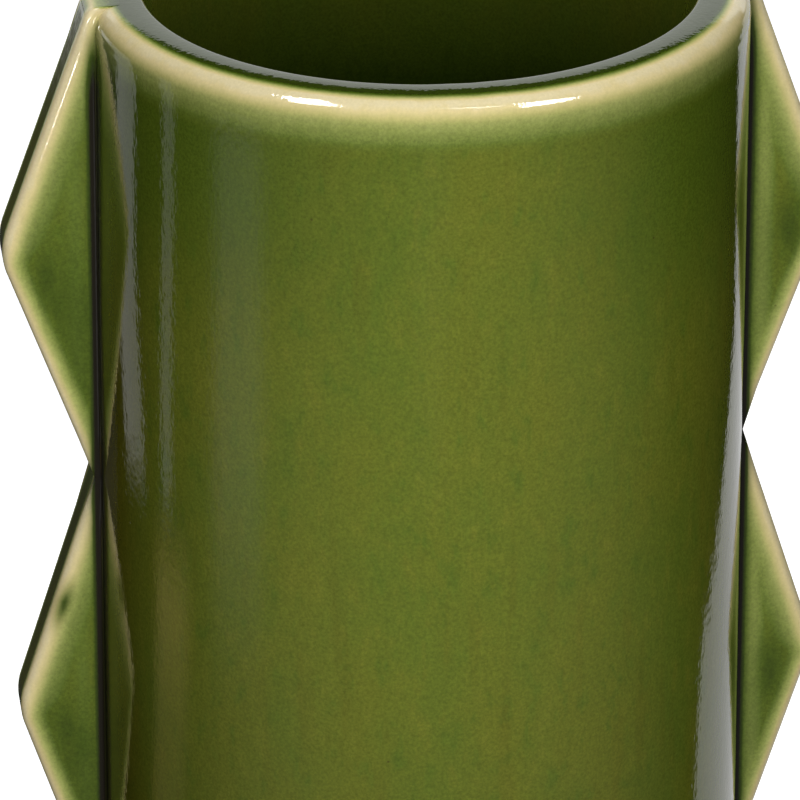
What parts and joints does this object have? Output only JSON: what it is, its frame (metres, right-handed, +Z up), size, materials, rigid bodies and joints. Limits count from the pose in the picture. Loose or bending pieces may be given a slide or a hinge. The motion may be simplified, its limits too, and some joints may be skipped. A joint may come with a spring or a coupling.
{
  "type": "stoneware vase",
  "caption": "Tall round stoneware vase with an open mouth, a soft rim, zigzag slab fins on opposite sides and an unglazed foot ring, in a glossy green glaze.",
  "frame": {"origin": "on the surface the vase stands on, under the middle of the foot ring", "axes": "+Z up along the vase's axis; +X through the middle of one fin, so both fins lie in the plane Y = 0"},
  "size_m": [0.1462, 0.122, 0.279],
  "materials": {
    "green_glaze": "glossy",
    "bare_clay": "matt"
  },
  "bodies": {
    "root": {"body_wall": "green_glaze", "floor_disc": "green_glaze", "foot_ring": "bare_clay", "fin_left_upper": "green_glaze", "fin_left_middle": "green_glaze", "fin_left_lower": "green_glaze", "fin_right_upper": "green_glaze", "fin_right_middle": "green_glaze", "fin_right_lower": "green_glaze"}
  },
  "joints": []
}
